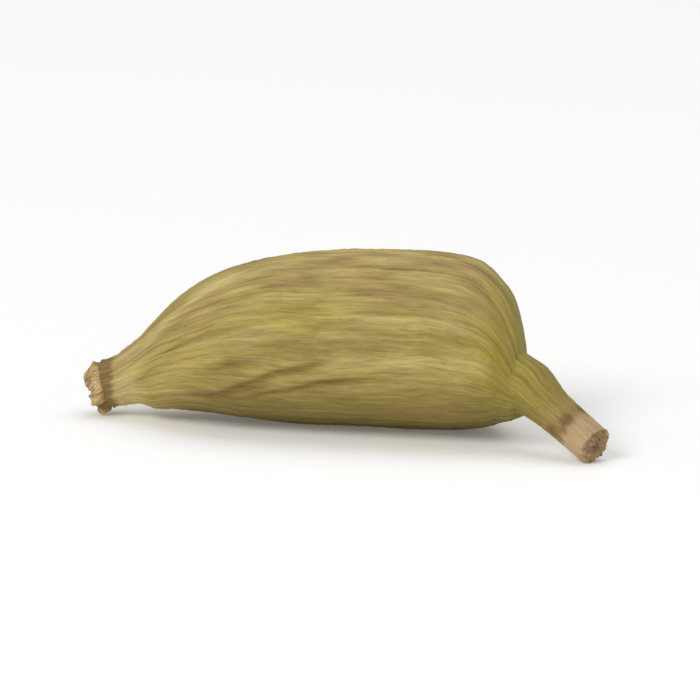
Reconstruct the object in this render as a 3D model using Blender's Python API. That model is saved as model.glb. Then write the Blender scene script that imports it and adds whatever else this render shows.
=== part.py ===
"""Green cardamom pod, dried, lying on its side: a three-cornered ribbed husk with the withered flower
scar at its nose and its own bent stalk at the other end, all grown in one piece.

Metres, +Z up. X runs from the nose to the stalk, -Y is the side with the lower front corner, and the
pod rests on Z = 0 at three low points round its weight: the rim of the scar, a small flat on the husk
and the stalk's tip.
"""

import math

import bmesh
import bpy
import numpy as np

MM = 0.001

# Driving dimensions, in millimetres and degrees
HUSK_LENGTH = 14.6  # from the neck behind the scar to the shoulder where the stalk starts
HUSK_HALF_HEIGHT = 3.0
HUSK_WIDTH_RATIO = 1.07  # the husk is this much wider than it is tall
WIDEST_AT = 0.63  # share of the husk's length from the neck
NECK_RADIUS = 0.88
NECK_WAIST = 0.2  # how much slimmer the husk is just past the neck
SHOULDER_RADIUS = 1.15
SHOULDER_LEAN = 1.15  # the closing end moves this much to the front for each millimetre that it slims
ROOT_LEAN = 1.0  # and the stalk's root this much
CORNER_ANGLE = 182.0  # where the front corner points: 90 is up, 180 is the front, 270 is down
CORNER_DEPTH = 0.085  # how far the three corners stand out, as a share of the half height
STALK_LENGTH = 3.8
STALK_RADIUS = 0.69
STALK_HEADING = -28.5  # turned towards -Y from the pod's axis
STALK_DIP = -28.6
HUSK_BEND = 0.15  # share of the stalk's turn and dip that the husk's end already has
SCAR_DIP = 28.0  # the scar's face looks this far down
RIB_COUNT = 24
RIB_HEIGHT = 0.065
SUTURE_HEIGHT = 0.08
SUTURE_HALF_WIDTH = 7.0
GROOVE_DEPTH = 0.20
GROOVE_HALF_WIDTH = 8.0
SEED_SWELLING = 0.03
SEEDS_ALONG = 5.2
# The groove that runs above the front corner: share of the husk's length, angle round the section
GROOVE_PATH = ((0.0, 203.0), (0.22, 195.0), (0.31, 186.0), (0.40, 178.0), (0.50, 172.0),
               (0.62, 168.0), (1.0, 166.0))

# The mesh: four sides to a rib, and rings shared out between the scar, the husk and the stalk
SEGMENTS = RIB_COUNT * 4
RINGS = 62
SCAR_SHARE = 0.16
STALK_SHARE = 0.24

# The middle of the section along the husk: share of its length, height above the surface
NECK_X = -8.05
HUSK_MIDDLE = ((0.0, 1.25), (0.06, 1.70), (0.13, 2.23), (0.23, 2.64), (0.42, 2.94),
               (0.66, 3.04), (0.84, 3.02), (0.93, 2.84), (0.975, 2.50), (1.0, 2.20))
# The scar as a turned shape: share of its rings, distance out from the neck, radius
SCAR_OUT = ((0.0, 0.92), (0.16, 0.94), (0.34, 1.20), (0.46, 1.28), (0.58, 1.16),
            (0.72, 0.82), (0.86, 0.36), (1.0, 0.0))
SCAR_RADIUS = ((0.0, 0.0), (0.16, 0.40), (0.34, 0.60), (0.46, 0.72), (0.58, 0.90),
               (0.72, 0.96), (0.86, 0.82), (1.0, NECK_RADIUS))
# The stalk: share of its rings, share of its length; share of its rings, radius
STALK_ALONG = ((0.0, 0.0), (0.78, 0.985), (0.88, 1.0), (1.0, 0.975))
STALK_GIRTH = ((0.0, SHOULDER_RADIUS), (0.03, 1.08), (0.08, 0.98), (0.16, 0.84),
               (0.32, STALK_RADIUS), (0.55, 0.67), (0.70, 0.68), (0.80, 0.70), (0.86, 0.64),
               (0.91, 0.46), (1.0, 0.0))


def law(at, knots):
    """A smooth curve through the knots, (place, value) pairs, that never overshoots them."""
    place, value = np.array(knots, float).T
    step = np.diff(place)
    slope = np.diff(value) / step
    tangent = np.zeros_like(value)
    same_way = slope[:-1] * slope[1:] > 0
    weight_left, weight_right = 2 * step[1:] + step[:-1], step[1:] + 2 * step[:-1]
    with np.errstate(divide="ignore", invalid="ignore"):
        mean = (weight_left + weight_right) / (weight_left / slope[:-1] + weight_right / slope[1:])
    tangent[1:-1] = np.where(same_way, mean, 0.0)
    tangent[0], tangent[-1] = slope[0], slope[-1]
    at = np.clip(at, place[0], place[-1])
    piece = np.clip(np.searchsorted(place, at, side="right") - 1, 0, len(step) - 1)
    t = (at - place[piece]) / step[piece]
    rise = t * t * (3 - 2 * t)
    bend = step[piece] * t * (1 - t) * ((1 - t) * tangent[piece] - t * tangent[piece + 1])
    return value[piece] * (1 - rise) + value[piece + 1] * rise + bend


def smooth(low, high, at):
    """0 before low, 1 after high, and a smooth step between."""
    t = np.clip((at - low) / (high - low), 0.0, 1.0)
    return t * t * (3 - 2 * t)


def bump(turn, centre, half_width):
    """A rounded bump, 1 high, at an angle round the section; both angles are in degrees."""
    away = (np.degrees(turn) - centre + 180.0) % 360.0 - 180.0
    return np.exp(-((away / half_width) ** 2))


def husk_girth(along):
    """Half height along the husk: swells slowly from the neck, closes steeply at the shoulder."""
    rising = np.clip(along / WIDEST_AT, 0.0, 1.0)
    closing = np.clip((along - WIDEST_AT) / (1.0 - WIDEST_AT), 0.0, 1.0)
    nose_side = NECK_RADIUS + (HUSK_HALF_HEIGHT - NECK_RADIUS) * (1 - (1 - rising) ** 2.5) ** 0.9
    nose_side = nose_side - NECK_WAIST * np.exp(-(((along - 0.045) / 0.035) ** 2))
    stalk_side = SHOULDER_RADIUS + (HUSK_HALF_HEIGHT - SHOULDER_RADIUS) * (1 - closing**5)
    return np.where(along < WIDEST_AT, nose_side, stalk_side)


def heading_and_dip(along_stalk, along_husk, along_scar):
    """Which way each section faces, in radians: level on the husk, drooping at the scar, bent off at
    the stalk."""
    bend = smooth(0.90, 1.0, along_husk) * HUSK_BEND
    bend = bend + smooth(0.0, 0.27, along_stalk) * (1 - HUSK_BEND)
    droop = SCAR_DIP * (1 - smooth(0.4, 1.0, along_scar) * 0.5 - smooth(0.0, 0.10, along_husk) * 0.5)
    return np.radians(STALK_HEADING) * bend, np.radians(STALK_DIP * bend + droop)


def directions(heading, dip):
    """Unit vectors out along the pod, across it to the back, and up, for each section."""
    out = np.stack([np.cos(dip) * np.cos(heading), np.cos(dip) * np.sin(heading), np.sin(dip)], -1)
    across = np.stack([-np.sin(heading), np.cos(heading), np.zeros_like(heading)], -1)
    return out, across, np.cross(out, across)


def sections(share):
    """Centre, facing, size and cornering of the section at each share of the rings, 0 at the scar's
    cup and 1 at the middle of the stalk's cut end."""
    along_scar = np.clip(share / SCAR_SHARE, 0.0, 1.0)
    ring_of_husk = np.clip((share - SCAR_SHARE) / (1 - SCAR_SHARE - STALK_SHARE), 0.0, 1.0)
    along_husk = 1 - (1 - ring_of_husk) ** 1.35
    ring_of_stalk = np.clip((share - 1 + STALK_SHARE) / STALK_SHARE, 0.0, 1.0)
    along_stalk = law(ring_of_stalk, STALK_ALONG)
    heading, dip = heading_and_dip(along_stalk, along_husk, along_scar)
    out, across, up = directions(heading, dip)

    closing = np.where(along_husk > WIDEST_AT, HUSK_HALF_HEIGHT - husk_girth(along_husk), 0.0)
    root = SHOULDER_RADIUS - np.maximum(law(ring_of_stalk, STALK_GIRTH), STALK_RADIUS)
    sideways = 0.25 * (1 - smooth(0.0, 0.3, along_husk)) - SHOULDER_LEAN * closing - ROOT_LEAN * root
    middle = np.stack([NECK_X + HUSK_LENGTH * along_husk, sideways, law(along_husk, HUSK_MIDDLE)], -1)
    on_scar = (share < SCAR_SHARE)[:, None]
    on_stalk = (share > 1 - STALK_SHARE)[:, None]
    centre = middle - on_scar * law(along_scar, SCAR_OUT)[:, None] * out
    centre = centre + on_stalk * stalk_offset(along_stalk)

    size = np.where(on_scar[:, 0], law(along_scar, SCAR_RADIUS), husk_girth(along_husk))
    size = np.where(on_stalk[:, 0], law(ring_of_stalk, STALK_GIRTH), size)
    cornering = smooth(0.0, 0.25, along_husk) * (1 - 0.8 * smooth(0.95, 1.0, along_husk))
    cornering = cornering * (1 - along_stalk)
    return centre, across, up, size, cornering, along_husk, along_stalk


def stalk_offset(along_stalk):
    """How far the stalk's centre line has gone from the shoulder: the sum of small steps along its
    bending heading."""
    steps = np.linspace(0.0, 1.0, 201)
    heading, dip = heading_and_dip(steps, np.ones_like(steps), np.ones_like(steps))
    out = directions(heading, dip)[0]
    path = np.vstack([np.zeros(3), np.cumsum((out[1:] + out[:-1]) / 2, axis=0) * STALK_LENGTH / 200])
    return np.stack([np.interp(along_stalk, steps, path[:, axis]) for axis in range(3)], -1)


def relief(along_husk, along_stalk, turn, cornering):
    """What stands out of the plain section, in millimetres: fibre ribs, the three sutures, the groove
    above the front corner, and the slow swellings where the seeds lie."""
    rib = np.round(turn * RIB_COUNT / (2 * math.pi)).astype(int) % RIB_COUNT
    strength = np.random.default_rng(7).uniform(0.45, 1.15, RIB_COUNT)[rib]
    crest = (0.5 + 0.5 * np.cos(RIB_COUNT * turn)) ** 1.3
    fade = (1 - 0.75 * smooth(0.0, 0.3, along_stalk)) * (1 - smooth(0.8, 1.0, along_stalk))
    fibres = RIB_HEIGHT * strength * crest * smooth(0.0, 0.08, along_husk) * fade
    corners = sum(bump(turn, CORNER_ANGLE + third, SUTURE_HALF_WIDTH) for third in (0, 120, 240))
    sutures = SUTURE_HEIGHT * corners * cornering
    groove = GROOVE_DEPTH * bump(turn, law(along_husk, GROOVE_PATH), GROOVE_HALF_WIDTH)
    groove = groove * smooth(0.15, 0.3, along_husk) * (1 - smooth(0.80, 0.95, along_husk))
    seed_rhythm = 2 * math.pi * SEEDS_ALONG * along_husk + 2.0 * np.sin(3 * turn)
    seeds = SEED_SWELLING * np.sin(seed_rhythm) * cornering
    return fibres + sutures - groove + seeds


def pod_points(share, turn):
    """Points of the pod's skin, in millimetres, for a share of the rings and an angle round the
    section: the section is a circle with three soft corners, widened sideways, with the relief on it,
    and pressed flat where it rests."""
    centre, across, up, size, cornering, along_husk, along_stalk = sections(share)
    corners = 1 + CORNER_DEPTH * cornering * np.cos(3 * (turn - math.radians(CORNER_ANGLE)))
    radius = size * corners + relief(along_husk, along_stalk, turn, cornering) * (size > 0)
    wide = 1 + (HUSK_WIDTH_RATIO - 1) * cornering
    points = centre + (radius * wide * np.cos(turn))[:, None] * across
    points = points + (radius * np.sin(turn))[:, None] * up
    points[:, 2] = np.maximum(points[:, 2], 0.0)
    return points


def husk_material():
    material = bpy.data.materials.new("dried_husk")
    material.use_nodes = True
    shader = material.node_tree.nodes["Principled BSDF"]
    shader.inputs["Base Color"].default_value = (0.40, 0.32, 0.11, 1.0)
    shader.inputs["Roughness"].default_value = 0.62
    shader.inputs["Metallic"].default_value = 0.0
    return material


def make_pod(collection):
    """A UV sphere whose poles become the scar's cup and the stalk's cut end, each vertex carried to
    the pod's skin."""
    shape = bmesh.new()
    bmesh.ops.create_uvsphere(shape, u_segments=SEGMENTS, v_segments=RINGS, radius=1.0)
    place = np.array([v.co for v in shape.verts])
    share = np.arccos(np.clip(-place[:, 2], -1.0, 1.0)) / math.pi
    turn = np.arctan2(place[:, 1], place[:, 0])
    points = pod_points(share, turn)
    low, high = points.min(axis=0), points.max(axis=0)
    points -= [(low[0] + high[0]) / 2, (low[1] + high[1]) / 2, 0.0]
    for vertex, point in zip(shape.verts, points * MM):
        vertex.co = point
    mesh = bpy.data.meshes.new("cardamom_pod")
    shape.to_mesh(mesh)
    shape.free()
    mesh.shade_smooth()
    mesh.materials.append(husk_material())
    pod = bpy.data.objects.new("cardamom_pod", mesh)
    collection.objects.link(pod)
    return pod


def main():
    for old in list(bpy.data.objects):
        bpy.data.objects.remove(old)
    collection = bpy.data.collections.new("green_cardamom_pod")
    bpy.context.scene.collection.children.link(collection)
    make_pod(collection)


main()
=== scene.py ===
"""Looks of a dried green cardamom pod: a fine ribbed skin over husk and stalk, the withered flower scar at
its nose, and a pale stage with light and camera. Laid out as an add-on and run as a script."""

import math

import bpy
import numpy as np
from bpy.props import FloatProperty, FloatVectorProperty, IntProperty, PointerProperty
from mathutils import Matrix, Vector


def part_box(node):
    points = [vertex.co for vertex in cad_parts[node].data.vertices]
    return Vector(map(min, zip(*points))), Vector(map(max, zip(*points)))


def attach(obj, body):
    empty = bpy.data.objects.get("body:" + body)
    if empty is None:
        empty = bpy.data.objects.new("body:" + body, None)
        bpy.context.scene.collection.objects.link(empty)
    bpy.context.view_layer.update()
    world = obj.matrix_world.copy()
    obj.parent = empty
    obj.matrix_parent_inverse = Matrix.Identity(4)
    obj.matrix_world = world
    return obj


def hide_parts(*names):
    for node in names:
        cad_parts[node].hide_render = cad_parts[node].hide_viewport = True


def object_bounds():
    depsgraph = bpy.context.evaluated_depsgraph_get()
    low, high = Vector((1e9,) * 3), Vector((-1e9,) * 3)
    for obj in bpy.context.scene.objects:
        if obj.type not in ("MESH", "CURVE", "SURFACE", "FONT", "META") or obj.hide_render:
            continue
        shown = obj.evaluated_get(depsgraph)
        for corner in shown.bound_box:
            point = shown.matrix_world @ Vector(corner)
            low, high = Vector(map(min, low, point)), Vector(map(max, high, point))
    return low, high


bl_info = {
    "name": "Green cardamom pod",
    "version": (1, 0, 0),
    "blender": (4, 5, 0),
    "location": "3D View > Sidebar > Cardamom",
    "description": "Dresses the packed cardamom pod with its ribbed skin and flower scar, on a pale stage",
    "category": "Object",
}

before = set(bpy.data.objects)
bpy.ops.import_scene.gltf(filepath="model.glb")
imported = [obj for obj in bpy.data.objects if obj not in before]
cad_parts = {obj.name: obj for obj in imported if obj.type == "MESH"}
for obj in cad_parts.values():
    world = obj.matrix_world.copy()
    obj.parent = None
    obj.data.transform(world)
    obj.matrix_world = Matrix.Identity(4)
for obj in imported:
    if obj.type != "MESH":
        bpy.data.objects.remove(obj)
CAD_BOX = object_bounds()
POD = "cardamom_pod"
MM = 0.001

# The pod's form, in millimetres and degrees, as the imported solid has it
HUSK_LENGTH = 14.6
HUSK_HALF_HEIGHT = 3.0
HUSK_WIDTH_RATIO = 1.07
WIDEST_AT = 0.63
NECK_RADIUS = 0.88
NECK_WAIST = 0.2
NECK_WAIST_AT = 0.045
NECK_WAIST_HALF_LENGTH = 0.035
NOSE_OFFSET = 0.25
SHOULDER_RADIUS = 1.15
SHOULDER_LEAN = 1.15
ROOT_LEAN = 1.0
CORNER_ANGLE = 182.0
CORNER_DEPTH = 0.085
STALK_LENGTH = 3.8
STALK_RADIUS = 0.69
STALK_HEADING = -28.5
STALK_DIP = -28.6
HUSK_BEND = 0.15
SCAR_DIP = 28.0
RIB_COUNT = 24
NECK_X = -8.05
SCAR_SHARE = 0.16
STALK_SHARE = 0.24
# How much the form's rings crowd together towards the shoulder
RING_CROWDING = 1.35

# Share of the husk's length, height of the section's middle
HUSK_MIDDLE = ((0.0, 1.25), (0.06, 1.70), (0.13, 2.23), (0.23, 2.64), (0.42, 2.94),
               (0.66, 3.04), (0.84, 3.02), (0.93, 2.84), (0.975, 2.50), (1.0, 2.20))
# The scar as a turned shape: share of its rings, distance out from the neck, radius
SCAR_OUT = ((0.0, 0.92), (0.16, 0.94), (0.34, 1.20), (0.46, 1.28), (0.58, 1.16),
            (0.72, 0.82), (0.86, 0.36), (1.0, 0.0))
SCAR_RADIUS = ((0.0, 0.0), (0.16, 0.40), (0.34, 0.60), (0.46, 0.72), (0.58, 0.90),
               (0.72, 0.96), (0.86, 0.82), (1.0, NECK_RADIUS))
# The stalk: share of its rings, share of its length; share of its rings, radius
STALK_ALONG = ((0.0, 0.0), (0.78, 0.985), (0.88, 1.0), (1.0, 0.975))
STALK_GIRTH = ((0.0, SHOULDER_RADIUS), (0.03, 1.08), (0.08, 0.98), (0.16, 0.84),
               (0.32, STALK_RADIUS), (0.55, 0.67), (0.70, 0.68), (0.80, 0.70), (0.86, 0.64),
               (0.91, 0.46), (1.0, 0.0))

# The groove above the front corner: share of the husk's length, angle round the section
GROOVE_PATH = ((0.0, 203.0), (0.22, 195.0), (0.31, 186.0), (0.40, 178.0), (0.50, 172.0),
               (0.62, 168.0), (1.0, 166.0))
# Where the skin's rings go: share of their count, share of the form's rings
SKIN_ROWS = ((0.0, 0.122), (0.05, 0.135), (0.10, 0.165), (0.70, 0.76), (0.88, 0.94), (1.0, 0.999))
# Under the scar the skin is drawn in to this share of its radius, and let out between these shares of the
# form's rings
TUCK = 0.62
TUCKED_RINGS = (0.122, 0.131)
# Shrink creases: their path as in GROOVE_PATH, then depth in millimetres and half width in degrees
CREASES = (
    (((0.27, 209.0), (0.37, 196.0), (0.43, 189.0), (0.50, 184.0), (0.55, 180.0)), 0.11, 2.8),
    (((0.33, 214.0), (0.40, 207.0), (0.47, 201.0), (0.56, 194.0), (0.66, 191.0)), 0.09, 2.8),
    (((0.20, 216.0), (0.27, 212.0), (0.34, 204.0), (0.40, 199.0)), 0.09, 3.2),
    (((0.10, 168.0), (0.20, 163.0), (0.32, 156.0), (0.42, 152.0)), 0.04, 3.0),
    (((0.52, 98.0), (0.62, 101.0), (0.74, 103.0), (0.90, 104.0)), 0.05, 2.2),
    (((0.36, 118.0), (0.50, 120.0), (0.68, 122.0), (0.80, 121.0)), 0.03, 2.4),
    (((0.62, 146.0), (0.72, 147.0), (0.84, 147.0), (0.93, 146.0)), 0.04, 2.6),
    (((0.30, 250.0), (0.45, 246.0), (0.62, 244.0), (0.80, 247.0)), 0.07, 3.0),
    (((0.15, 30.0), (0.35, 24.0), (0.60, 20.0), (0.85, 22.0)), 0.09, 3.5),
    (((0.20, 350.0), (0.42, 342.0), (0.66, 338.0), (0.90, 341.0)), 0.08, 3.2),
    (((0.10, 76.0), (0.25, 72.0), (0.45, 70.0)), 0.05, 2.6),
)

# The relief: heights and depths in millimetres, half widths in degrees
FINE_COUNT = RIB_COUNT * 3 + 1
SUTURE_HEIGHT = 0.08
SUTURE_HALF_WIDTH = 7.0
GROOVE_DEPTH = 0.20
GROOVE_HALF_WIDTH = 8.0
FURROW_DEPTH = 0.045
WRINKLE_HEIGHT = 0.022
FINE_WRINKLE_HEIGHT = 0.012
SEED_HEIGHT = 0.045
# A crease as deep as this has its full painted shade
FULL_CREASE = 0.08
# How narrow the crests of the two kinds of fibre and the furrows are: the powers that they are raised to
RIB_SHARPNESS = 2.2
FINE_SHARPNESS = 1.4
FURROW_SHARPNESS = 7
# How far a rib's line wanders round the pod, in radians: slow bends and quick ones
WANDER = 0.055
QUICK_WANDER = 0.022

# The stalk's torn end, in millimetres: how far fibres stand out of the cut, in coarse and fine tufts, how far
# the cut leans and bulges, and how ragged, wavy and drawn in its rim is
TUFTS = 0.10
FINE_TUFTS = 0.05
CUT_LEAN = 0.15
CUT_BULGE = 0.10
RIM_RAGS = 0.035
RIM_WAVES = 0.06
RIM_DRAWN_IN = 0.05

# The withered flower's cup, from its edge on the neck over its rim into its hollow: share of its rings, then
# distance out from the neck's end and radius, in millimetres
CUP_ROWS = 72
CUP_COLUMNS = 160
CUP_OUT = ((0.0, 0.34), (0.12, 0.56), (0.30, 0.78), (0.48, 1.00), (0.58, 1.11), (0.63, 1.14), (0.69, 1.08),
           (0.84, 0.94), (1.0, 0.88))
CUP_RADIUS = ((0.0, 0.62), (0.12, 0.79), (0.30, 0.85), (0.48, 0.79), (0.58, 0.66), (0.63, 0.56),
              (0.69, 0.47), (0.84, 0.28), (1.0, 0.0))
# How far its pleats wind round from edge to hollow, in radians
CUP_TWIST = 0.5
# Its brown ring at the neck ends, and the painted shade inside its hollow begins, at these shares of its rings
CUP_NECK_RING = 0.15
CUP_INSIDE_SHADE = (0.62, 0.76)
# A painted highlight on its front side and its paler back side: middle and half width in degrees
SCAR_HIGHLIGHT_FRONT = (166.0, 48.0)
SCAR_PALE_BACK = (20.0, 45.0)

# Painted highlights on the front ridge and on the rim above the neck: share of the husk's length, angle round
# the section
RIDGE_HIGHLIGHT = ((0.0, 186.0), (0.55, 186.0), (0.72, 181.0), (0.88, 180.0), (0.97, 172.0), (1.0, 170.0))
RIM_HIGHLIGHT = ((0.0, 150.0), (0.08, 141.0), (0.15, 119.0), (0.23, 104.0), (0.35, 97.0), (0.60, 93.0),
            (1.0, 92.0))
# Patches of colour on the skin: strength, middle and half width in degrees, and the shares of the husk's
# length over which each comes in and goes out
GREEN_PATCH = (0.5, 148.0, 16.0, (0.36, 0.45), (0.50, 0.62))
PINK_PATCHES = (
    (0.9, 92.0, 22.0, (0.30, 0.50), (0.80, 0.95)),
    (1.0, 122.0, 14.0, (0.06, 0.12), (0.20, 0.32)),
    (0.7, 162.0, 10.0, (0.25, 0.35), (0.40, 0.50)),
)
# The pale patch is a painted highlight: a streak on the face
STREAK_HIGHLIGHT = (0.8, 152.5, 4.0, (0.58, 0.66), (0.82, 0.90))
BROWN_PATCH = (0.8, 210.0, 5.0, (0.17, 0.23), (0.29, 0.34))
# Where the skin changes colour: the neck and the shoulder, as shares of the husk's length, and the collar,
# in millimetres out of the neck
GREEN_NECK = (0.03, 0.14)
PALE_NECK = (0.03, 0.10)
SHOULDER = (0.86, 0.97)
COLLAR = (0.04, 0.34)
# Painted shade on the low, back and under sides: middle and half width in degrees
LOW_SIDE_SHADE = (232.0, 34.0)
BACK_SIDE_SHADE = (290.0, 60.0)
UNDER_SIDE_SHADE = (262.0, 27.0)
# The stalk's brown band and its scorched stretch: middle and half length, as shares of the stalk's length
BROWN_BAND = (0.70, 0.05)
SCORCHED = (0.60, 0.09)
# Where the pale cut end begins, as shares of the stalk's length, and its brown rim: middle and half length,
# as shares of the stalk's rings
CUT_END = (0.68, 0.80)
CUT_RIM = (0.845, 0.02)
# Withered blotches: share of the stalk's length, angle round it; then their half length and half width
BLOTCHES = ((0.69, 143.0), (0.61, 200.0), (0.66, 70.0), (0.64, 290.0))
BLOTCH_HALF_LENGTH = 0.05
BLOTCH_HALF_WIDTH = 20.0
# How long the patterns of the fibres and of the cup's threads are, where one turn round is 2 pi
GRAIN_LENGTH = 18.0
CUP_GRAIN_LENGTH = 2.0
# Depth of the finest fibres and threads, which the materials make, in metres
SKIN_BUMP = 0.00009
CUP_BUMP = 0.0002

# Lamps of the stage: name, place and size in metres, power as a share of the key power
LAMPS = (
    ("key_light", (-0.14, -0.30, 0.26), 0.16, 1.6),
    ("top_light", (0.05, 0.10, 0.40), 0.40, 1.0),
)
# Floor and camera: width of the floor, the nearest and farthest that the camera sees, and how far below the
# pod's middle it aims, in metres; then its sensor's width, in millimetres
FLOOR_SIZE = 4.0
NEAREST = 0.01
FARTHEST = 20.0
AIM_BELOW_MIDDLE = 0.0002
SENSOR_WIDTH = 36.0


def law(at, knots):
    """A smooth curve through the knots, (place, value) pairs, that never overshoots them: a cubic between
    each two, with the weighted harmonic mean of the slopes on both sides as its tangent at a knot, or level
    where the slopes differ in sign."""
    place, value = np.array(knots, float).T
    step = np.diff(place)
    slope = np.diff(value) / step
    tangent = np.zeros_like(value)
    same_way = slope[:-1] * slope[1:] > 0
    weight_left, weight_right = 2 * step[1:] + step[:-1], step[1:] + 2 * step[:-1]
    with np.errstate(divide="ignore", invalid="ignore"):
        mean = (weight_left + weight_right) / (weight_left / slope[:-1] + weight_right / slope[1:])
    tangent[1:-1] = np.where(same_way, mean, 0.0)
    tangent[0], tangent[-1] = slope[0], slope[-1]
    at = np.clip(at, place[0], place[-1])
    piece = np.clip(np.searchsorted(place, at, side="right") - 1, 0, len(step) - 1)
    t = (at - place[piece]) / step[piece]
    rise = t * t * (3 - 2 * t)
    bend = step[piece] * t * (1 - t) * ((1 - t) * tangent[piece] - t * tangent[piece + 1])
    return value[piece] * (1 - rise) + value[piece + 1] * rise + bend


def smooth(low, high, at):
    """0 before low, 1 after high, and between them three squares less two cubes of the way gone."""
    t = np.clip((at - low) / (high - low), 0.0, 1.0)
    return t * t * (3 - 2 * t)


def bump(turn, centre, half_width):
    """A rounded bump, 1 high, round the section: e to minus the square of the angle from its centre over its
    half width. The turn is in radians, the other two are in degrees."""
    away = (np.degrees(turn) - centre + 180.0) % 360.0 - 180.0
    return np.exp(-((away / half_width) ** 2))


def bump_at(place, centre, half_width):
    """The same bump at a place along the pod."""
    return np.exp(-(((place - centre) / half_width) ** 2))


def husk_girth(along):
    """Half height along the husk: it swells from the neck as a power of the way to the widest place, less a
    small waist, and closes from there to the shoulder as a fifth power."""
    rising = np.clip(along / WIDEST_AT, 0.0, 1.0)
    closing = np.clip((along - WIDEST_AT) / (1.0 - WIDEST_AT), 0.0, 1.0)
    nose_side = NECK_RADIUS + (HUSK_HALF_HEIGHT - NECK_RADIUS) * (1 - (1 - rising) ** 2.5) ** 0.9
    nose_side = nose_side - NECK_WAIST * bump_at(along, NECK_WAIST_AT, NECK_WAIST_HALF_LENGTH)
    stalk_side = SHOULDER_RADIUS + (HUSK_HALF_HEIGHT - SHOULDER_RADIUS) * (1 - closing**5)
    return np.where(along < WIDEST_AT, nose_side, stalk_side)


def heading_and_dip(along_stalk, along_husk, along_scar):
    """Which way each section faces, in radians: level on the husk, drooping at the scar, bent off at the
    stalk."""
    bend = smooth(0.90, 1.0, along_husk) * HUSK_BEND
    bend = bend + smooth(0.0, 0.27, along_stalk) * (1 - HUSK_BEND)
    droop = SCAR_DIP * (1 - smooth(0.4, 1.0, along_scar) * 0.5 - smooth(0.0, 0.10, along_husk) * 0.5)
    return np.radians(STALK_HEADING) * bend, np.radians(STALK_DIP * bend + droop)


def directions(heading, dip):
    """Unit vectors out along the pod, across it to the back, and up, for each section."""
    out = np.stack([np.cos(dip) * np.cos(heading), np.cos(dip) * np.sin(heading), np.sin(dip)], -1)
    across = np.stack([-np.sin(heading), np.cos(heading), np.zeros_like(heading)], -1)
    return out, across, np.cross(out, across)


def stalk_offset(along_stalk):
    """How far the stalk's centre line has gone from the shoulder: the sum of small steps along its bending
    heading."""
    count = 200
    steps = np.linspace(0.0, 1.0, count + 1)
    heading, dip = heading_and_dip(steps, np.ones_like(steps), np.ones_like(steps))
    out = directions(heading, dip)[0]
    path = np.vstack([np.zeros(3), np.cumsum((out[1:] + out[:-1]) / 2, axis=0) * STALK_LENGTH / count])
    return np.stack([np.interp(along_stalk, steps, path[:, axis]) for axis in range(3)], -1)


def sections(share):
    """Centre, facing, size and cornering of the section at each share of the rings, 0 at the scar's cup and
    1 at the middle of the stalk's cut end."""
    along_scar = np.clip(share / SCAR_SHARE, 0.0, 1.0)
    ring_of_husk = np.clip((share - SCAR_SHARE) / (1 - SCAR_SHARE - STALK_SHARE), 0.0, 1.0)
    along_husk = 1 - (1 - ring_of_husk) ** RING_CROWDING
    ring_of_stalk = np.clip((share - 1 + STALK_SHARE) / STALK_SHARE, 0.0, 1.0)
    along_stalk = law(ring_of_stalk, STALK_ALONG)
    heading, dip = heading_and_dip(along_stalk, along_husk, along_scar)
    out, across, up = directions(heading, dip)
    closing = np.where(along_husk > WIDEST_AT, HUSK_HALF_HEIGHT - husk_girth(along_husk), 0.0)
    root = SHOULDER_RADIUS - np.maximum(law(ring_of_stalk, STALK_GIRTH), STALK_RADIUS)
    sideways = NOSE_OFFSET * (1 - smooth(0.0, 0.3, along_husk)) - SHOULDER_LEAN * closing - ROOT_LEAN * root
    middle = np.stack([NECK_X + HUSK_LENGTH * along_husk, sideways, law(along_husk, HUSK_MIDDLE)], -1)
    on_scar = (share < SCAR_SHARE)[:, None]
    on_stalk = (share > 1 - STALK_SHARE)[:, None]
    centre = middle - on_scar * law(along_scar, SCAR_OUT)[:, None] * out
    centre = centre + on_stalk * stalk_offset(along_stalk)
    size = np.where(on_scar[:, 0], law(along_scar, SCAR_RADIUS), husk_girth(along_husk))
    size = np.where(on_stalk[:, 0], law(ring_of_stalk, STALK_GIRTH), size)
    cornering = smooth(0.0, 0.25, along_husk) * (1 - 0.8 * smooth(0.95, 1.0, along_husk))
    cornering = cornering * (1 - along_stalk)
    return {"centre": centre, "out": out, "across": across, "up": up, "size": size, "cornering": cornering,
            "husk": along_husk, "stalk": along_stalk, "scar": along_scar, "ring_of_stalk": ring_of_stalk}


def drift(along, turn, cells_along, cells_round, seed):
    """Smooth noise from -1 to 1: a seeded value at each corner of a grid laid along and round the pod, with a
    smooth step from corner to corner. It closes on itself round the pod."""
    corners = np.random.default_rng(seed).uniform(-1.0, 1.0, (cells_along + 2, cells_round))
    a = np.clip(along, 0.0, 1.0) * cells_along
    r = (turn / (2 * math.pi)) % 1.0 * cells_round
    i, j = np.floor(a).astype(int), np.floor(r).astype(int) % cells_round
    fa, fr = smooth(0.0, 1.0, a - np.floor(a)), smooth(0.0, 1.0, r - np.floor(r))
    k = (j + 1) % cells_round
    low = corners[i, j] * (1 - fr) + corners[i, k] * fr
    high = corners[i + 1, j] * (1 - fr) + corners[i + 1, k] * fr
    return low * (1 - fa) + high * fa


def fibres(along, turn, count, power, seed):
    """Raised fibres, 0 to 1: a crest at every count-th of a turn, half a cosine raised to a power, as strong
    as a seeded draw for its fibre, and fading in and out along the pod by slow noise."""
    fibre = np.round(turn * count / (2 * math.pi)).astype(int) % count
    strength = np.random.default_rng(seed).uniform(0.35, 1.0, count)[fibre]
    crest = (0.5 + 0.5 * np.cos(count * turn)) ** power
    return crest * strength * (0.75 + 0.25 * drift(along, turn, 9, count, seed + 1))


def creasing(along, turn):
    """How deep the creases are at each point, in millimetres: for each, a rounded furrow across its path,
    with ends that fade out."""
    depth = np.zeros_like(along)
    for path, deep, half_width in CREASES:
        start, end = path[0][0], path[-1][0]
        fade = smooth(start - 0.05, start + 0.06, along) * (1 - smooth(end - 0.06, end + 0.05, along))
        depth += deep * fade * bump(turn, law(along, path), half_width)
    return depth


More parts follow.
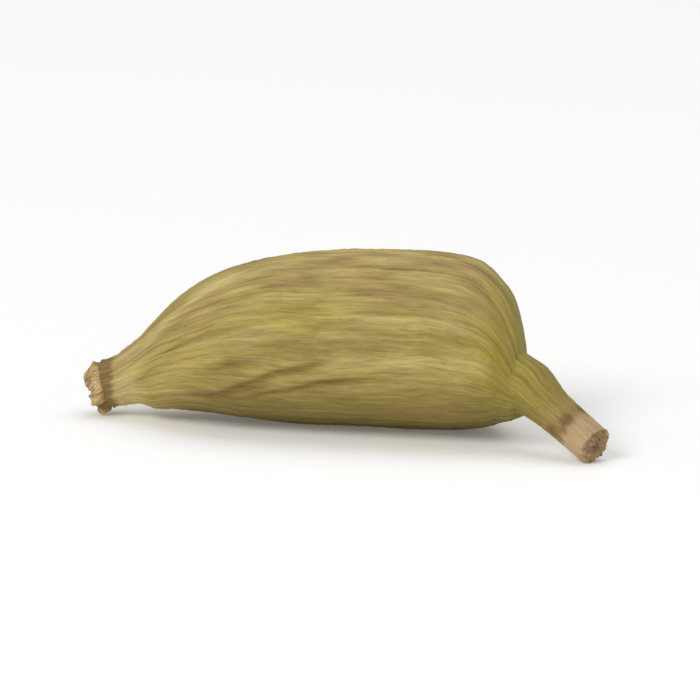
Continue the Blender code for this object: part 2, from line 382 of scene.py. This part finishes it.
def husk_relief(s, turn, ribs, fine):
    """What stands out of the plain section, in millimetres, with the masks that colour it: fibre ribs and
    finer fibres between them, both along lines that wander, the three sutures, the groove and the creases,
    shrink wrinkles across the fibres, and slow swellings where the seeds lie. ribs and fine are the heights
    of the two kinds of fibre. The last number of each drift is its seed."""
    along, stalk = s["husk"], s["stalk"]
    run = (along * HUSK_LENGTH + stalk * STALK_LENGTH) / (HUSK_LENGTH + STALK_LENGTH)
    body = smooth(0.0, 0.07, along)
    line = turn + WANDER * body * drift(run, turn, 7, 5, 31)
    line = line + QUICK_WANDER * body * drift(run, turn, 19, 11, 32)
    fade = (1 - 0.6 * smooth(0.0, 0.3, stalk)) * (1 - smooth(0.9, 1.0, stalk))
    main = fibres(run, line, RIB_COUNT, RIB_SHARPNESS, 7)
    second = fibres(run, line + 0.4, FINE_COUNT, FINE_SHARPNESS, 17)
    raised = (ribs * main + fine * second) * (0.35 + 0.65 * body) * fade
    furrow = (1 - np.abs(drift(run, line, 11, 34, 44))) ** FURROW_SHARPNESS
    furrow = furrow * smooth(-0.1, 0.5, drift(run, line, 9, 12, 45)) * (0.4 + 0.6 * body) * fade
    corners = sum(bump(turn, CORNER_ANGLE + third_turn, SUTURE_HALF_WIDTH) for third_turn in (0, 120, 240))
    sutures = SUTURE_HEIGHT * corners * s["cornering"]
    groove = GROOVE_DEPTH * bump(turn, law(along, GROOVE_PATH), GROOVE_HALF_WIDTH) * smooth(0.15, 0.3, along)
    groove = groove * (1 - smooth(0.80, 0.95, along))
    creases = creasing(along, turn) * (1 - smooth(0.0, 0.2, stalk))
    ends = 1 - 0.65 * smooth(0.05, 0.35, along) * (1 - smooth(0.80, 1.0, along))
    wrinkles = WRINKLE_HEIGHT * ends * drift(run, line, 90, 46, 41)
    wrinkles = wrinkles + FINE_WRINKLE_HEIGHT * drift(run, line, 190, 90, 42)
    seeds = SEED_HEIGHT * drift(run, turn, 9, 9, 43) * s["cornering"]
    relief = raised + sutures - groove - creases - FURROW_DEPTH * furrow + wrinkles * fade + seeds
    # The crease mask is painted shade: darker in the groove, the creases and the furrows
    dark = groove / GROOVE_DEPTH * 0.5 + creases / FULL_CREASE + 0.42 * furrow
    return relief, {"vein": np.clip(main + 0.5 * second, 0, 1), "crease_shade": np.clip(dark, 0, 1),
                    "run": run, "line": line}


def skin_points(share, turn, ribs, fine):
    """Points of the skin, in millimetres, and the masks: on each section a circle with three soft corners,
    widened sideways, with the relief on it, and pressed flat where the pod rests. At the stalk's end the
    section is pushed out and in along the stalk where its fibres are torn."""
    s = sections(share)
    relief, masks = husk_relief(s, turn, ribs, fine)
    corners = 1 + CORNER_DEPTH * s["cornering"] * np.cos(3 * (turn - math.radians(CORNER_ANGLE)))
    tuck = TUCK + (1 - TUCK) * smooth(*TUCKED_RINGS, share)
    radius = s["size"] * corners * tuck + relief * smooth(0.0, 0.5, s["size"])
    wide = 1 + (HUSK_WIDTH_RATIO - 1) * s["cornering"]
    end = s["ring_of_stalk"]
    across_cut = end * 6 - 5
    torn = TUFTS * drift(across_cut, turn, 9, 26, 71) + FINE_TUFTS * drift(across_cut, turn, 14, 61, 72)
    outward = np.clip(s["size"] / STALK_RADIUS, 0.0, 1.0)
    torn = torn - CUT_LEAN * np.sin(turn) * outward + CUT_BULGE * (1 - outward**2)
    torn = smooth(0.80, 0.88, end) * torn
    fray = RIM_RAGS * drift(np.zeros_like(turn), turn, 1, 37, 73) + RIM_WAVES * drift(end, turn, 12, 9, 74)
    radius = radius + fray * bump_at(end, 0.84, 0.07) - RIM_DRAWN_IN * smooth(0.76, 0.86, end) * outward
    points = s["centre"] + torn[:, None] * s["out"]
    points = points + (radius * wide * np.cos(turn))[:, None] * s["across"]
    points = points + (radius * np.sin(turn))[:, None] * s["up"]
    points[:, 2] = np.maximum(points[:, 2], 0.0)
    masks.update(s)
    return points, masks


def patch(along, turn, strength, middle, half_width, fade_in, fade_out):
    """A patch of colour: a rounded bump round the pod that comes in and goes out smoothly along the husk."""
    here = strength * bump(turn, middle, half_width) * smooth(*fade_in, along)
    return here * (1 - smooth(*fade_out, along))


def pale_neck_and_highlights(along, t, stalk):
    """How pale the skin is, 0 to 1.5: painted highlights on the front ridge, in a streak on the face and on
    the rim above the neck, and the pale neck."""
    # Painted highlights on the front ridge, in a streak on the face and on the rim; the neck is pale in its
    # own colour
    ridge = 0.65 * bump(t, law(along, RIDGE_HIGHLIGHT), 8.0) * smooth(0.42, 0.6, along) * (1 - 0.5 * stalk)
    rim = 1.3 - 0.6 * smooth(0.24, 0.45, along)
    rim = rim * bump(t, law(along, RIM_HIGHLIGHT), 17.0 - 6.0 * bump_at(along, 0.24, 0.14))
    rim = rim * smooth(0.04, 0.09, along) * (1 - smooth(0.78, 0.92, along))
    neck = 1.25 * (1 - smooth(*PALE_NECK, along))
    return np.clip(ridge + patch(along, t, *STREAK_HIGHLIGHT) + rim + neck, 0, 1.5)


def skin_colouring(m, t):
    """The skin's attributes, from its masks m and its angles t. grain: where the point is on the pattern of
    the fibres. tone: vein, painted shade in the creases and along the under side, and green. tint: pink, tan
    and cut
    end. spots: painted highlights with the pale neck, painted shade on the low and back sides with a darker
    stalk and shoulder, and brown. Each is a share of that colour, from bumps and smooth steps along and round
    the pod, with drift to fray the edges."""
    along, stalk, run = m["husk"], m["stalk"], m["run"]
    neck = 1 - smooth(*GREEN_NECK, along)
    shoulder = smooth(*SHOULDER, along)
    green = 0.5 * neck + 0.95 * shoulder * (1 - 0.6 * stalk) + patch(along, t, *GREEN_PATCH)
    pink = sum(patch(along, t, *each) for each in PINK_PATCHES)
    band = bump_at(stalk + 0.04 * drift(run, t, 40, 23, 55), *BROWN_BAND)
    band = band * smooth(-0.5, 0.5, drift(run, t, 60, 11, 51))
    rim = bump_at(m["ring_of_stalk"], *CUT_RIM) * smooth(-0.7, 0.5, drift(run, t, 10, 33, 52))
    out = law(m["scar"], SCAR_OUT) * (m["scar"] < 1) + 0.06 * drift(run, t, 10, 19, 53)
    out = out + 0.10 * np.sin(t)
    collar = smooth(*COLLAR, out + 0.10 * drift(run, m["line"], 16, 71, 57))
    blotch = sum(bump_at(stalk, place, BLOTCH_HALF_LENGTH) * bump(t, angle, BLOTCH_HALF_WIDTH)
                 for place, angle in BLOTCHES)
    tan = 0.3 * smooth(0.0, 0.2, out) + 0.6 * bump_at(stalk, *SCORCHED) + 0.25 * band
    cut = smooth(*CUT_END, stalk + 0.05 * drift(run, t, 30, 13, 54) + 0.05 * drift(run, t, 40, 47, 56))
    # Painted shade on the low and back sides, and darker over the stalk and the shoulder
    shade = np.clip(1.4 * bump(t, *LOW_SIDE_SHADE) + bump(t, *BACK_SIDE_SHADE), 0, 1.3) * smooth(0.1, 0.3, along)
    shade = shade + 0.3 * smooth(0.05, 0.3, stalk) + 0.35 * shoulder
    # Painted shade along the under side, where the pod meets the floor
    under = bump(t, *UNDER_SIDE_SHADE) * smooth(0.06, 0.2, along) * (1 - smooth(0.0, 0.5, stalk))
    brown = patch(along, t, *BROWN_PATCH) + 0.9 * collar + 0.6 * band + 1.3 * blotch + 0.3 * rim
    pink, tan, green, shade, brown = (np.clip(each, 0, 1) for each in (pink, tan, green, shade, brown))
    return {"grain": np.stack([np.cos(m["line"]), np.sin(m["line"]), run * GRAIN_LENGTH], -1),
            "tone": np.stack([m["vein"], np.maximum(m["crease_shade"], under), green], -1),
            "tint": np.stack([pink, tan, cut], -1),
            "spots": np.stack([pale_neck_and_highlights(along, t, stalk), shade, brown], -1)}


def cup_points(t, turn):
    """Points of the withered flower, in millimetres, and how far its folds stand out: a shape turned round
    the line out of the neck, its radius gathered in pleats that wind as they go out, and its rim torn. t runs
    from 0 at its edge on the neck, over the rim, to 1 in the middle of its hollow."""
    s = sections((1 - t) * SCAR_SHARE)
    still = np.zeros_like(t)
    lobes = 0.6 * np.cos(3 * turn + 0.9) + 0.4 * np.cos(7 * turn + 2.1)
    twist = turn + CUP_TWIST * t
    pleats = 1 - 2.6 * np.abs(drift(t, twist, 2, 22, 61)) ** 0.8
    folds = 0.55 * pleats + 0.15 * lobes + 0.3 * drift(t, twist, 3, 47, 65) + 0.12 * drift(t, turn, 9, 17, 68)
    near_rim = smooth(0.15, 0.55, t) * smooth(0.05, 0.35, 1 - t)
    teeth = 0.05 * lobes + 0.06 * drift(still, turn, 1, 14, 62) + 0.09 * drift(still, turn, 1, 37, 63)
    gathered = 0.99 + 0.15 * folds * smooth(0.05, 0.3, t) * smooth(0.0, 0.3, 1 - t)
    radius = law(t, CUP_RADIUS) * gathered
    radius = radius + 0.016 * drift(t, turn, 30, 60, 64) * smooth(0.0, 0.2, 1 - t)
    out = law(t, CUP_OUT) + teeth * near_rim
    neck = sections(np.full_like(t, SCAR_SHARE))["centre"]
    points = neck - out[:, None] * s["out"]
    points = points + (radius * np.cos(turn))[:, None] * s["across"]
    points = points + (radius * np.sin(turn))[:, None] * s["up"]
    points[:, 2] = np.maximum(points[:, 2], 0.0)
    return points, folds


def cup_colouring(t, turn, folds):
    """The withered flower's attributes. grain: where the point is on the pattern of the threads. tone: the
    folds, the ring at the neck and the painted shade inside the cup. spots: a painted highlight on the front
    side with the paler back side, and twice nothing."""
    still = np.zeros_like(t)
    neck_ring = 1 - smooth(0.0, CUP_NECK_RING, t + 0.05 * drift(still, turn, 1, 19, 67))
    # A painted highlight on the front side, and a paler back side
    highlight_and_pale_back = 1.2 * bump(turn, *SCAR_HIGHLIGHT_FRONT) + 0.6 * bump(turn, *SCAR_PALE_BACK)
    highlight_and_pale_back = highlight_and_pale_back + 0.3 * drift(still, turn, 1, 13, 69)
    return {"grain": np.stack([np.cos(turn), np.sin(turn), t * CUP_GRAIN_LENGTH], -1),
            "tone": np.stack([folds, neck_ring, smooth(*CUP_INSIDE_SHADE, t)], -1),
            "spots": np.stack([np.clip(highlight_and_pale_back, 0, 1), still, still], -1)}


def grid(rows, turns):
    """Each row's place with each angle round, row after row."""
    place, turn = np.meshgrid(rows, turns, indexing="ij")
    return place.ravel(), turn.ravel()


def full_turn(columns):
    """Even steps once round, in radians."""
    return np.arange(columns) * 2 * math.pi / columns


def with_poles(values, rows):
    """The grid's vectors and one more for each pole: the mean of the first row and the mean of the last."""
    by_row = values.reshape(rows, -1, 3)
    return np.vstack([values, by_row[0].mean(axis=0), by_row[-1].mean(axis=0)])


def grid_mesh(name, points, rows, columns):
    """A closed mesh from a grid of points that runs round in its columns: four-sided faces between the rows,
    and a fan of triangles at each end, to a pole in the middle of its row."""
    i, j = np.meshgrid(np.arange(rows - 1), np.arange(columns), indexing="ij")
    k = (j + 1) % columns
    quads = [i * columns + j, i * columns + k, (i + 1) * columns + k, (i + 1) * columns + j]
    quads = np.stack(quads, -1).reshape(-1, 4)
    around = np.arange(columns)
    after = (around + 1) % columns
    last = (rows - 1) * columns
    low, high = rows * columns, rows * columns + 1
    low_fan = np.stack([after, around, np.full(columns, low)], -1)
    high_fan = np.stack([last + around, last + after, np.full(columns, high)], -1)
    fans = np.concatenate([low_fan, high_fan])
    vertices = with_poles(points, rows) * MM
    mesh = bpy.data.meshes.new(name)
    mesh.vertices.add(len(vertices))
    mesh.vertices.foreach_set("co", vertices.astype(np.float32).ravel())
    corners = np.concatenate([quads.ravel(), fans.ravel()])
    mesh.loops.add(len(corners))
    mesh.loops.foreach_set("vertex_index", corners.astype(np.int32))
    totals = np.concatenate([np.full(len(quads), 4), np.full(len(fans), 3)])
    mesh.polygons.add(len(totals))
    mesh.polygons.foreach_set("loop_start", (np.cumsum(totals) - totals).astype(np.int32))
    mesh.polygons.foreach_set("loop_total", totals.astype(np.int32))
    mesh.update(calc_edges=True)
    mesh.shade_smooth()
    return mesh


def give_vectors(mesh, name, values, rows):
    """An attribute of the mesh: a vector for each point of the grid, and the poles' from the rows next to
    them."""
    attribute = mesh.attributes.new(name, "FLOAT_VECTOR", "POINT")
    attribute.data.foreach_set("vector", with_poles(values, rows).astype(np.float32).ravel())


def form_shift():
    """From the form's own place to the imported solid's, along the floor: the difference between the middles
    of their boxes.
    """
    share, turn = grid(np.linspace(0.0, 1.0, 125), np.radians(np.arange(0, 360, 5)))
    points = skin_points(share, turn, 0.0, 0.0)[0]
    low, high = (np.array(corner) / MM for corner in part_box(POD))
    shift = (low + high) / 2 - (points.min(axis=0) + points.max(axis=0)) / 2
    return shift * [1, 1, 0]


def finish_piece(mesh, material, replaces=None):
    """The piece in the scene, riding on the pod's one body."""
    mesh.materials.append(material)
    piece = bpy.data.objects.new(mesh.name, mesh)
    bpy.context.scene.collection.objects.link(piece)
    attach(piece, "root")
    if replaces:
        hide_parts(replaces)


class Nodes:
    """Short ways to add and join a material's nodes. A value is a number, a vector or a node's socket."""

    def __init__(self, name):
        self.material = bpy.data.materials.new(name)
        self.material.use_nodes = True
        self.tree = self.material.node_tree
        self.shader = self.tree.nodes["Principled BSDF"]

    def add(self, kind, inputs=(), **settings):
        """A new node with its settings and the values of its inputs."""
        node = self.tree.nodes.new("ShaderNode" + kind)
        for key, value in settings.items():
            setattr(node, key, value)
        for key, value in dict(inputs).items():
            self.put(node.inputs[key], value)
        return node

    def put(self, socket, value):
        """Links the value to the socket, or sets it there."""
        if isinstance(value, bpy.types.NodeSocket):
            self.tree.links.new(value, socket)
        else:
            socket.default_value = value

    def attribute(self, name):
        """The mesh's attribute of that name."""
        return self.add("Attribute", attribute_name=name).outputs["Vector"]

    def split(self, vector):
        """The vector's three parts."""
        return self.add("SeparateXYZ", {"Vector": vector}).outputs

    def math(self, operation, a, b):
        """One step of arithmetic."""
        return self.add("Math", {0: a, 1: b}, operation=operation).outputs[0]

    def stretch(self, vector, scale):
        """The vector times the scale, part by part."""
        return self.add("VectorMath", {0: vector, 1: scale}, operation="MULTIPLY").outputs[0]

    def noise(self, vector, scale, detail, roughness):
        """Cloudy noise from 0 to 1, mostly near a half."""
        inputs = {"Vector": vector, "Scale": scale, "Detail": detail, "Roughness": roughness}
        return self.add("TexNoise", inputs).outputs["Fac"]

    def span(self, value, low, high, to_low=0.0, to_high=1.0):
        """A straight ramp: to_low where the value is low or less, to_high where it is high or more."""
        inputs = {"Value": value, "From Min": low, "From Max": high, "To Min": to_low, "To Max": to_high}
        return self.add("MapRange", inputs).outputs["Result"]

    def mix(self, share, first, second):
        """The first colour with a share of the second."""
        node = self.add("Mix", data_type="RGBA")
        self.put(node.inputs["Factor"], share)
        for key, colour in (("A", first), ("B", second)):
            self.put(node.inputs[key], colour if isinstance(colour, bpy.types.NodeSocket) else (*colour, 1.0))
        return node.outputs["Result"]


def husk_material(colours):
    """Dry husk: straw and olive patches, paler on the veins and darker between them, brown-olive painted shade
    in the creases, the groove, the furrows and along the under side, painted shade on the low and back sides,
    darker on the stalk and shoulder, greener at neck and shoulder, a pale neck, painted highlights on the
    front ridge, a streak on the face and the rim, with fine fibres in colour, roughness and bump that follow
    the skin."""
    n = Nodes("dried_husk")
    grain = n.attribute("grain")
    vein, crease_shade, green = n.split(n.attribute("tone"))
    pink, tan, cut = n.split(n.attribute("tint"))
    pale, shade, brown = n.split(n.attribute("spots"))
    place = n.add("TexCoord").outputs["Object"]
    patches = n.noise(place, scale=330.0, detail=3.0, roughness=0.55)
    streaks = n.noise(n.stretch(grain, (1.0, 1.0, 0.09)), scale=5.0, detail=4.0, roughness=0.55)
    threads = n.noise(n.stretch(grain, (1.0, 1.0, 0.03)), scale=17.0, detail=5.0, roughness=0.6)
    hairs = n.noise(n.stretch(grain, (1.0, 1.0, 0.03)), scale=52.0, detail=3.0, roughness=0.6)
    colour = n.mix(n.span(patches, 0.36, 0.64), colours.olive, colours.straw)
    colour = n.mix(n.math("MULTIPLY", pink, 0.7), colour, colours.beige)
    colour = n.mix(n.span(streaks, 0.50, 0.72, 0.0, 0.65), colour, colours.pale)
    colour = n.mix(n.span(streaks, 0.28, 0.46, 0.38, 0.0), colour, colours.dark_streak_and_shade)
    colour = n.mix(n.math("MULTIPLY", green, 0.9), colour, colours.green)
    # pale: painted highlights on the ridge, the face's streak and the rim, with the pale neck
    colour = n.mix(n.math("MULTIPLY", pale, 0.85), colour, colours.pale)
    colour = n.mix(n.span(pale, 0.8, 1.5, 0.0, 0.9), colour, colours.bleached_and_highlight)
    colour = n.mix(n.span(vein, 0.15, 0.85, 0.0, 0.6), colour, colours.pale)
    # Painted shade in the creases, the groove, the furrows and along the under side
    colour = n.mix(n.math("MULTIPLY", crease_shade, 0.85), colour, colours.crease_shade)
    # Painted shade on the low and back sides, darker over the stalk and the shoulder
    colour = n.mix(n.math("MULTIPLY", shade, 0.75), colour, colours.dark_streak_and_shade)
    colour = n.mix(cut, colour, colours.cut)
    colour = n.mix(tan, colour, colours.tan)
    specks = n.noise(place, scale=1500.0, detail=4.0, roughness=0.7)
    flecks = n.span(specks, 0.66, 0.74, 0.0, 0.5)
    colour = n.mix(n.math("MAXIMUM", n.math("MULTIPLY", brown, 0.9), flecks), colour, colours.brown)
    thread_contrast = n.span(threads, 0.33, 0.67, 0.77, 1.20)
    hair_contrast = n.span(hairs, 0.33, 0.62, 0.81, 1.09)
    contrast = n.math("MULTIPLY", thread_contrast, hair_contrast)
    colour = n.add("VectorMath", {0: colour, "Scale": contrast}, operation="SCALE").outputs[0]
    n.put(n.shader.inputs["Base Color"], colour)
    n.put(n.shader.inputs["Roughness"], n.span(hairs, 0.3, 0.7, 0.62, 0.46))
    height = n.math("ADD", n.math("MULTIPLY", threads, 0.65), n.math("MULTIPLY", hairs, 0.35))
    bump_node = n.add("Bump", {"Height": height, "Strength": 0.9, "Distance": SKIN_BUMP})
    n.put(n.shader.inputs["Normal"], bump_node.outputs["Normal"])
    n.shader.inputs["Specular IOR Level"].default_value = 0.35
    return n.material


def scar_material(colours):
    """Withered flower: orange tan papery folds, with a painted highlight on the front side and paler on the
    back, painted shade in the hollows of the folds, brown where they leave the neck, and painted shade inside
    the cup."""
    n = Nodes("withered_flower")
    fold, ring, inside = n.split(n.attribute("tone"))
    highlight_and_pale_back = n.split(n.attribute("spots"))[0]
    place = n.add("TexCoord").outputs["Object"]
    grain = n.attribute("grain")
    specks = n.noise(place, scale=2200.0, detail=4.0, roughness=0.65)
    threads = n.noise(n.stretch(grain, (1.0, 1.0, 0.14)), scale=11.0, detail=5.0, roughness=0.7)
    colour = n.mix(n.span(threads, 0.34, 0.52), colours.scar_brown_and_fold_shade, colours.scar)
    # The painted highlight on the front side, and the paler back side
    highlight_and_pale_back_threads = n.math("MULTIPLY", highlight_and_pale_back, n.span(threads, 0.40, 0.54, 0.1, 1.0))
    colour = n.mix(highlight_and_pale_back_threads, colour, colours.scar_pale)
    # Painted shade in the hollows of the folds
    hollow = n.math("MULTIPLY", n.span(fold, -0.5, 0.25, 0.85, 0.0), n.span(highlight_and_pale_back, 0.0, 1.0, 1.0, 0.5))
    colour = n.mix(hollow, colour, colours.scar_brown_and_fold_shade)
    colour = n.mix(n.span(specks, 0.58, 0.68, 0.0, 0.5), colour, colours.scar_brown_and_fold_shade)
    colour = n.mix(n.math("MULTIPLY", ring, 0.85), colour, colours.scar_brown_and_fold_shade)
    # Painted shade inside the cup's hollow
    colour = n.mix(n.math("MULTIPLY", inside, 0.7), colour, colours.scar_inside_shade)
    n.put(n.shader.inputs["Base Color"], colour)
    n.shader.inputs["Roughness"].default_value = 0.72
    bump_node = n.add("Bump", {"Height": threads, "Strength": 1.0, "Distance": CUP_BUMP})
    n.put(n.shader.inputs["Normal"], bump_node.outputs["Normal"])
    return n.material


class CardamomPodSettings(bpy.types.PropertyGroup):
    rib_height: FloatProperty(
        name="Rib height", description="How far the main fibre ribs stand out of the husk",
        default=0.07 * MM, min=0.0, max=0.3 * MM, unit="LENGTH", precision=6)
    fine_height: FloatProperty(
        name="Fine fibre height", description="Height of the finer fibres between the ribs",
        default=0.024 * MM, min=0.0, max=0.1 * MM, unit="LENGTH", precision=6)
    skin_rows: IntProperty(
        name="Skin rows", description="Rings of the skin from neck to stalk tip",
        default=220, min=40, max=600)
    skin_columns: IntProperty(
        name="Skin columns", description="Points round the skin", default=432, min=48, max=640)
    straw: FloatVectorProperty(
        name="Straw", description="The husk's yellower patches", subtype="COLOR",
        default=(0.430, 0.322, 0.086))
    olive: FloatVectorProperty(
        name="Olive", description="The husk's greener patches", subtype="COLOR",
        default=(0.348, 0.276, 0.064))
    beige: FloatVectorProperty(
        name="Beige", description="The pinkish patches on the top and the face", subtype="COLOR",
        default=(0.465, 0.338, 0.126))
    # Also the colour of the painted highlights on the ridge, the face's streak and the rim
    pale: FloatVectorProperty(
        name="Pale fibres", description="The palest fibres", subtype="COLOR", default=(0.52, 0.41, 0.135))
    # The pale neck, and the painted highlight on the rim above it
    bleached_and_highlight: FloatVectorProperty(
        name="Bleached", description="The rim above the neck", subtype="COLOR", default=(0.60, 0.49, 0.215))
    # Darker streaks between the fibres, and the painted shade on the low and back sides
    dark_streak_and_shade: FloatVectorProperty(
        name="Between fibres", description="The darker lines between fibres", subtype="COLOR",
        default=(0.245, 0.176, 0.030))
    # Painted shade in the creases, the groove, the furrows and along the under side
    crease_shade: FloatVectorProperty(
        name="Creases", description="Brown-olive of the creases", subtype="COLOR",
        default=(0.185, 0.130, 0.012))
    brown: FloatVectorProperty(
        name="Brown", description="Withered spots, at the neck and near the stalk's end", subtype="COLOR",
        default=(0.20, 0.11, 0.03))
    green: FloatVectorProperty(
        name="Green", description="Neck and shoulder", subtype="COLOR", default=(0.335, 0.290, 0.016))
    tan: FloatVectorProperty(
        name="Tan", description="Dried places at the neck and on the stalk", subtype="COLOR",
        default=(0.42, 0.275, 0.095))
    cut: FloatVectorProperty(
        name="Cut end", description="The stalk's cut face", subtype="COLOR", default=(0.55, 0.375, 0.20))
    scar: FloatVectorProperty(
        name="Flower scar", description="The scar's papery tan", subtype="COLOR", default=(0.64, 0.43, 0.16))
    # A painted highlight on the scar's front side, and its paler back side
    scar_pale: FloatVectorProperty(
        name="Scar's pale side", description="The fresher side of the scar", subtype="COLOR",
        default=(0.96, 0.68, 0.34))
    # Also the painted shade in the hollows of the scar's folds
    scar_brown_and_fold_shade: FloatVectorProperty(
        name="Scar brown", description="The scar's folds", subtype="COLOR", default=(0.22, 0.12, 0.035))
    # Painted shade inside the scar's cup
    scar_inside_shade: FloatVectorProperty(
        name="Scar inside", description="Inside the scar's cup", subtype="COLOR",
        default=(0.09, 0.05, 0.018))


class CardamomStageSettings(bpy.types.PropertyGroup):
    azimuth: FloatProperty(
        name="Azimuth", description="How far the camera has gone round from the front",
        default=math.radians(12.0), subtype="ANGLE")
    elevation: FloatProperty(
        name="Elevation", description="How far the camera is above the surface",
        default=math.radians(12.0), subtype="ANGLE")
    distance: FloatProperty(
        name="Distance", description="From the camera to the pod", default=0.6, unit="LENGTH")
    fill: FloatProperty(
        name="Fill", description="Share of the picture's width that the pod takes", default=0.80,
        subtype="FACTOR", min=0.1, max=1.0)
    floor: FloatVectorProperty(
        name="Floor", description="The pale surface under the pod", subtype="COLOR",
        default=(0.92, 0.92, 0.92))
    glow: FloatProperty(
        name="Floor glow", description="Light that the surface gives off itself, as a lit table does",
        default=0.10)
    sky: FloatProperty(
        name="Sky strength", description="Strength of the even light from all round", default=0.5)
    key: FloatProperty(
        name="Key power", description="Power of the soft light above, in watts", default=0.5)


class CARDAMOM_OT_husk_skin(bpy.types.Operator):
    """Lay the fine ribbed skin over husk and stalk"""

    bl_idname = "cardamom.husk_skin"
    bl_label = "Husk and stalk skin"

    def execute(self, context):
        pod = context.scene.cardamom_pod
        rows, columns = pod.skin_rows, pod.skin_columns
        share, turn = grid(law(np.linspace(0.0, 1.0, rows), SKIN_ROWS), full_turn(columns))
        points, masks = skin_points(share, turn, pod.rib_height / MM, pod.fine_height / MM)
        mesh = grid_mesh("husk_skin", points + form_shift(), rows, columns)
        for name, values in skin_colouring(masks, turn).items():
            give_vectors(mesh, name, values, rows)
        finish_piece(mesh, husk_material(pod), replaces=POD)
        return {"FINISHED"}


class CARDAMOM_OT_flower_scar(bpy.types.Operator):
    """Add the withered flower's ragged cup at the nose"""

    bl_idname = "cardamom.flower_scar"
    bl_label = "Flower scar"

    def execute(self, context):
        t, turn = grid(np.linspace(0.0, 1.0, CUP_ROWS), full_turn(CUP_COLUMNS))
        points, folds = cup_points(t, turn)
        mesh = grid_mesh("flower_scar", points + form_shift(), CUP_ROWS, CUP_COLUMNS)
        mesh.flip_normals()
        for name, values in cup_colouring(t, turn, folds).items():
            give_vectors(mesh, name, values, CUP_ROWS)
        finish_piece(mesh, scar_material(context.scene.cardamom_pod))
        return {"FINISHED"}


class CARDAMOM_OT_stage(bpy.types.Operator):
    """Set the pale floor, the soft light and the camera at the photograph's angle"""

    bl_idname = "cardamom.stage"
    bl_label = "Stage, light and camera"

    def execute(self, context):
        stage = context.scene.cardamom_stage
        low, high = (Vector(corner) for corner in CAD_BOX)
        middle = (low + high) / 2
        bpy.ops.mesh.primitive_plane_add(size=FLOOR_SIZE, location=(0.0, 0.0, 0.0))
        floor = context.object
        floor.name = "stage_floor"
        n = Nodes("pale_floor")
        n.shader.inputs["Base Color"].default_value = (*stage.floor, 1.0)
        n.shader.inputs["Roughness"].default_value = 0.9
        n.shader.inputs["Specular IOR Level"].default_value = 0.0
        n.shader.inputs["Emission Color"].default_value = (1.0, 1.0, 1.0, 1.0)
        n.shader.inputs["Emission Strength"].default_value = stage.glow
        floor.data.materials.append(n.material)
        world = bpy.data.worlds.new("even_light")
        world.use_nodes = True
        sky = world.node_tree.nodes["Background"]
        sky.inputs["Color"].default_value = (1.0, 1.0, 1.0, 1.0)
        sky.inputs["Strength"].default_value = stage.sky
        context.scene.world = world
        for name, place, size, power in LAMPS:
            light = bpy.data.lights.new(name, "AREA")
            light.size = size
            light.energy = power * stage.key
            lamp = bpy.data.objects.new(name, light)
            context.scene.collection.objects.link(lamp)
            lamp.location = place
            lamp.rotation_euler = (middle - Vector(place)).to_track_quat("-Z", "Y").to_euler()
        camera = bpy.data.cameras.new("camera")
        camera.sensor_width = SENSOR_WIDTH
        seen = (high.x - low.x) * math.cos(stage.azimuth) + (high.y - low.y) * math.sin(stage.azimuth) * 0.2
        camera.lens = camera.sensor_width * stage.distance / (seen / stage.fill)
        camera.clip_start, camera.clip_end = NEAREST, FARTHEST
        eye = bpy.data.objects.new("camera", camera)
        context.scene.collection.objects.link(eye)
        back = Vector((math.sin(stage.azimuth) * math.cos(stage.elevation),
                       -math.cos(stage.azimuth) * math.cos(stage.elevation), math.sin(stage.elevation)))
        aim = Vector((middle.x, middle.y, middle.z - AIM_BELOW_MIDDLE))
        eye.location = aim + back * stage.distance
        eye.rotation_euler = (-back).to_track_quat("-Z", "Y").to_euler()
        context.scene.camera = eye
        context.scene.view_settings.view_transform = "Standard"
        return {"FINISHED"}


OPERATORS = (CARDAMOM_OT_husk_skin, CARDAMOM_OT_flower_scar, CARDAMOM_OT_stage)


class CARDAMOM_PT_panel(bpy.types.Panel):
    bl_idname = "CARDAMOM_PT_panel"
    bl_label = "Green cardamom pod"
    bl_space_type = "VIEW_3D"
    bl_region_type = "UI"
    bl_category = "Cardamom"

    def draw(self, context):
        for settings in (context.scene.cardamom_pod, context.scene.cardamom_stage):
            for name in settings.__annotations__:
                self.layout.prop(settings, name)
        for operator in OPERATORS:
            self.layout.operator(operator.bl_idname)


CLASSES = (CardamomPodSettings, CardamomStageSettings, *OPERATORS, CARDAMOM_PT_panel)


def register():
    for each in CLASSES:
        bpy.utils.register_class(each)
    bpy.types.Scene.cardamom_pod = PointerProperty(type=CardamomPodSettings)
    bpy.types.Scene.cardamom_stage = PointerProperty(type=CardamomStageSettings)


def unregister():
    del bpy.types.Scene.cardamom_stage
    del bpy.types.Scene.cardamom_pod
    for each in reversed(CLASSES):
        bpy.utils.unregister_class(each)


def main():
    register()
    bpy.ops.cardamom.husk_skin()
    bpy.ops.cardamom.flower_scar()
    bpy.ops.cardamom.stage()
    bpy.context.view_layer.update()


if __name__ == "__main__":
    main()
